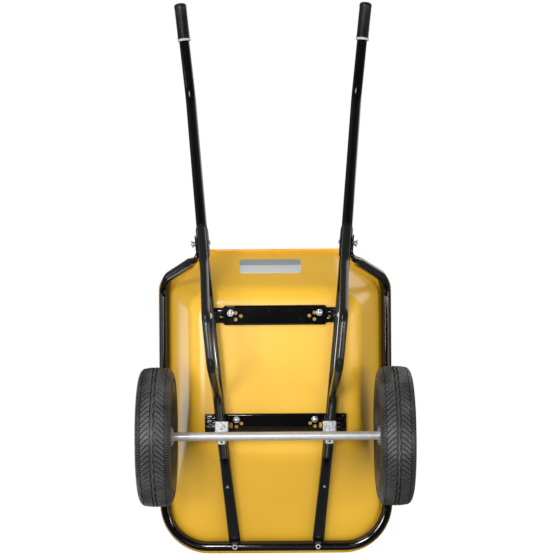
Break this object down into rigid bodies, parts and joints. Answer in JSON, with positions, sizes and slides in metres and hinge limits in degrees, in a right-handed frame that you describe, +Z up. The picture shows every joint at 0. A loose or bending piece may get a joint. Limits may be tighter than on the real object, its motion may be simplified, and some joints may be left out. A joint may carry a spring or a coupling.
{
  "type": "wheelbarrow",
  "caption": "Garden and builder's wheelbarrow with a deep pressed steel tray, a bent-tube frame with legs, rubber grips and pneumatic wheels on one axle.",
  "frame": {"origin": "on the floor, under the middle of the box that holds the whole barrow", "axes": "+Z up, +Y towards the handles, -Y towards the nose, +X to the left of whoever pushes it"},
  "size_m": [0.7932, 1.7134, 0.6408],
  "materials": {
    "yellow_paint": "gloss",
    "black_gloss_paint": "gloss",
    "black_rim_paint": "satin",
    "zinc_plate": "satin",
    "bright_steel": "gloss",
    "tyre_rubber": "matte",
    "grip_rubber": "matte",
    "butyl_rubber": "matte",
    "pale_plastic": "matte",
    "silver_foil": "satin"
  },
  "bodies": {
    "root": {"axle": "zinc_plate", "axle_cap_left": "zinc_plate", "axle_cap_right": "zinc_plate", "axle_clamp_bolt_left": "zinc_plate", "axle_clamp_bolt_right": "zinc_plate", "axle_clamp_left": "zinc_plate", "axle_clamp_right": "zinc_plate", "cross_brace_front": "black_gloss_paint", "cross_brace_rear": "black_gloss_paint", "grip_collar_left": "pale_plastic", "grip_collar_right": "pale_plastic", "grip_left": "grip_rubber", "grip_right": "grip_rubber", "leg_bolt_left": "zinc_plate", "leg_bolt_right": "zinc_plate", "leg_tube_left": "black_gloss_paint", "leg_tube_right": "black_gloss_paint", "leg_wing_nut_left": "bright_steel", "leg_wing_nut_right": "bright_steel", "main_tube_left": "black_gloss_paint", "main_tube_right": "black_gloss_paint", "nose_bolt_left": "zinc_plate", "nose_bolt_right": "zinc_plate", "rear_brace_bolt_left": "zinc_plate", "rear_brace_bolt_right": "zinc_plate", "rim_tube": "black_gloss_paint", "tray": "yellow_paint", "tray_bolt_front_left": "zinc_plate", "tray_bolt_front_right": "zinc_plate", "tray_bolt_rear_left": "zinc_plate", "tray_bolt_rear_right": "zinc_plate", "tray_label": "silver_foil", "tray_nut_front_left": "bright_steel", "tray_nut_front_right": "bright_steel", "tray_nut_rear_left": "bright_steel", "tray_nut_rear_right": "bright_steel", "washer_inner_left": "zinc_plate", "washer_inner_right": "zinc_plate", "washer_outer_left": "zinc_plate", "washer_outer_right": "zinc_plate"},
    "wheel_left": {"tyre_left": "tyre_rubber", "inner_tube_left": "butyl_rubber", "valve_left": "zinc_plate", "wheel_rim_left": "black_rim_paint", "hub_left": "zinc_plate", "bearing_inner_left": "bright_steel", "bearing_outer_left": "bright_steel"},
    "wheel_right": {"tyre_right": "tyre_rubber", "inner_tube_right": "butyl_rubber", "valve_right": "zinc_plate", "wheel_rim_right": "black_rim_paint", "hub_right": "zinc_plate", "bearing_inner_right": "bright_steel", "bearing_outer_right": "bright_steel"}
  },
  "joints": [
    {"name": "wheel_left_spin", "type": "hinge", "parent": "root", "child": "wheel_left", "pos_m": [0.34, -0.45968, 0.19904], "axis": [1, 0, 0], "continuous": true},
    {"name": "wheel_right_spin", "type": "hinge", "parent": "root", "child": "wheel_right", "pos_m": [-0.34, -0.45968, 0.19904], "axis": [1, 0, 0], "continuous": true}
  ]
}
